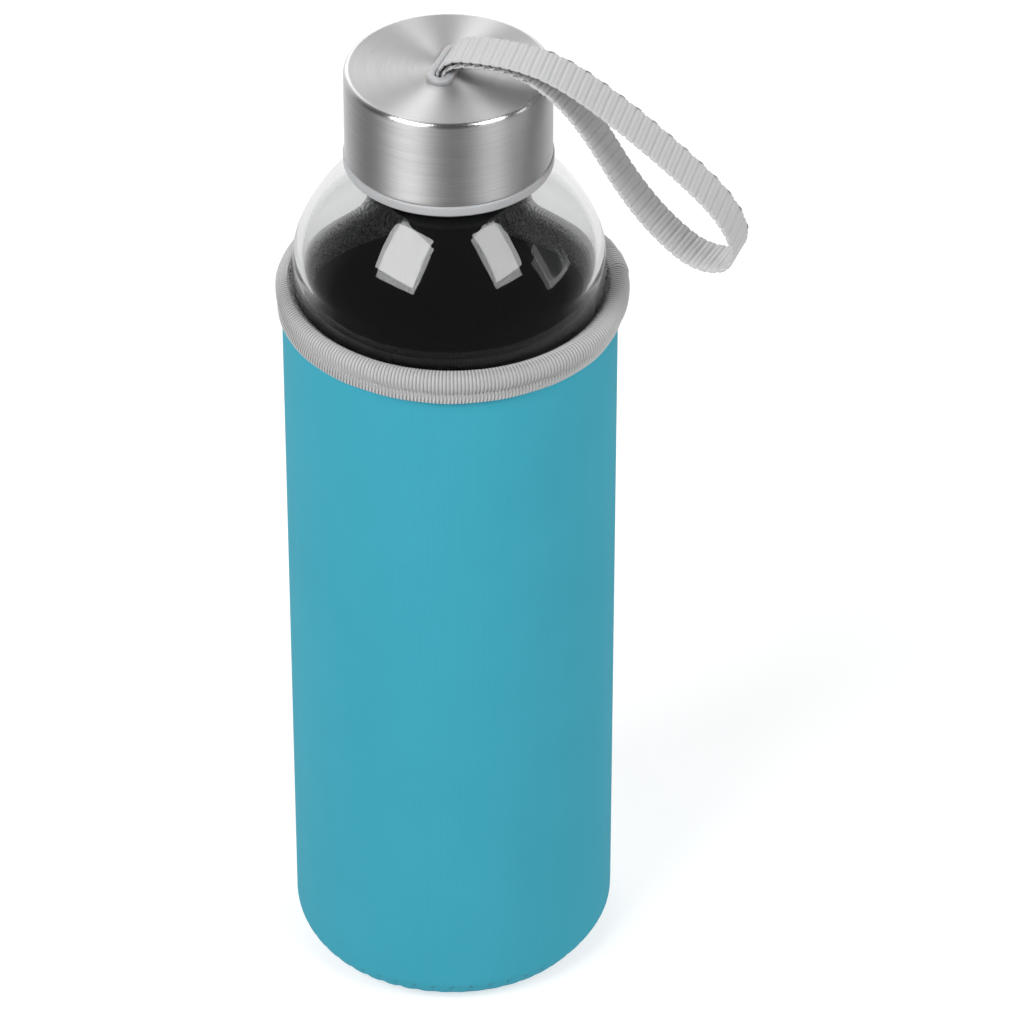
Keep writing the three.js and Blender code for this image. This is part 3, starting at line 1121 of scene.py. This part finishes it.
def softbox(name, azimuth, elevation, distance, width, height, radiance):
    """A rectangular light that faces the bottle's shoulder, sized in metres.

    Azimuth is in degrees from the camera's side towards the right.
    """
    turn = math.radians(azimuth)
    lift = math.radians(elevation)
    middle = Vector((0, 0, softbox_aim * MM))
    out = Vector((math.sin(turn) * math.cos(lift), -math.cos(turn) * math.cos(lift), math.sin(lift)))
    data = bpy.data.lights.new(name, "AREA")
    data.shape = "RECTANGLE"
    data.size = width
    data.size_y = height
    data.energy = radiance * math.pi * width * height
    lamp = bpy.data.objects.new(name, data)
    lamp.location = middle + distance * out
    lamp.rotation_euler = out.to_track_quat("Z", "Y").to_euler()
    lamp.visible_camera = False
    bpy.context.scene.collection.objects.link(lamp)


def studio():
    """Dim in front and at the sides, bright behind. The camera itself sees a plain pale backdrop."""
    world = bpy.data.worlds.new("studio")
    world.use_nodes = True
    bpy.context.scene.world = world
    tree = world.node_tree
    background = tree.nodes["Background"]
    way = tree.nodes.new("ShaderNodeTexCoord").outputs["Generated"]
    split = tree.nodes.new("ShaderNodeSeparateXYZ")
    tree.links.new(way, split.inputs[0])
    shift = tree.nodes.new("ShaderNodeMapRange")
    shift.inputs["From Min"].default_value = -1
    tree.links.new(split.outputs["Y"], shift.inputs["Value"])
    ramp = tree.nodes.new("ShaderNodeValToRGB")
    tree.links.new(shift.outputs["Result"], ramp.inputs["Fac"])
    stops = ramp.color_ramp.elements
    stops[0].color = (*grey(0.1), 1)
    stops[1].color = (*grey(1), 1)
    for position, shade in ((0.3, 0.1), (0.5, 0.1), (0.64, 0.25), (0.74, 0.6)):
        stops.new(position).color = (*grey(shade), 1)
    seen = tree.nodes.new("ShaderNodeLightPath").outputs["Is Camera Ray"]
    backdrop = tree.nodes.new("ShaderNodeMix")
    backdrop.data_type = "RGBA"
    tree.links.new(seen, backdrop.inputs["Factor"])
    tree.links.new(ramp.outputs["Color"], backdrop.inputs[6])
    backdrop.inputs[7].default_value = (*grey(0.93), 1)
    tree.links.new(backdrop.outputs[2], background.inputs["Color"])
    bpy.context.scene.view_settings.view_transform = "Standard"


def lamps():
    """Two large softboxes in front, a faint panel on the right and a broad one behind."""
    softbox("softbox_left", -45.5, 41, 1.3, 0.75, 0.72, 8.5)
    softbox("softbox_right", 51, 42, 1.3, 0.54, 0.74, 6.5)
    softbox("panel_right", 88, 15, 1.3, 0.55, 0.55, 1.5)
    softbox("panel_back", -166, 30, 1.5, 1.1, 1.1, 1.3)


# ---- The object ----

def hang(piece, body, finish, replaced=()):
    """Gives a piece its finish and its body, and hides the CAD nodes that it stands for.

    A CAD node rides on its body already.
    """
    piece.data.materials.clear()
    piece.data.materials.append(finish)
    if piece.parent is None:
        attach(piece, body)
    if replaced:
        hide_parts(*replaced)
    return piece


camera()

strap = hang(carry_strap(), "lid", webbing(), ["carry_strap"])
loops = hang(strap_loops(), "lid", thread("selvedge_thread", grey(0.05), grey(0.2)))
# A cord runs from the slot's mouth round the loop to the strap's other end, inside the lid. No cord is built
# here, and the strap's route at 1 mm spacing below goes unused.
route, _, stations = strap_line(1)

steel = brushed_steel("brushed_steel", 4200, (grey(0.62), grey(0.76)), 0.58)
clip_steel = brushed_steel("clip_steel", 1500, (grey(0.45), grey(0.6)), 0.3)
plastic = grey_plastic()
neoprene = knit("teal_neoprene", (0.036, 0.305, 0.405), (0.048, 0.355, 0.465), 0.00038, 0.0003, 0.03)
jersey = knit("black_jersey", (0.004, 0.004, 0.005), (0.016, 0.016, 0.018), 0.0006, 0.0005, 0.05)
grey_thread = thread("grey_thread", (0.30, 0.29, 0.29), (0.6, 0.6, 0.6))
teal_thread = thread("teal_thread", (0.02, 0.17, 0.24), (0.04, 0.26, 0.35))

hang(glass_bottle(), "bottle", clear_glass(), ["glass_bottle"])
hang(lid_shell(), "lid", steel, ["lid_shell"])
hang(inner_cap(), "lid", plastic, ["inner_cap"])
hang(strap_grommet(), "lid", plastic, ["strap_grommet"])
hang(seal_ring(), "seal", silicone(), ["seal_ring"])
hang(frame["nodes"]["strap_clip"], "lid", clip_steel)
hang(side_panel(), "sleeve", neoprene, ["side_panel"])
hang(base_panel(), "sleeve", neoprene, ["base_panel"])
hang(side_lining(), "sleeve", jersey, ["side_lining"])
hang(base_lining(), "sleeve", jersey, ["base_lining"])
hang(top_binding(), "sleeve", grey_tape(), ["top_binding"])
hang(binding_stitches(), "sleeve", grey_thread, ["binding_stitch"])
hang(overlap_stitches(), "sleeve", grey_thread)
hang(base_seam_stitches(), "sleeve", teal_thread, ["base_seam_stitch"])
hang(side_seam_stitches(), "sleeve", teal_thread, ["side_seam_stitch"])

floor()
studio()
lamps()
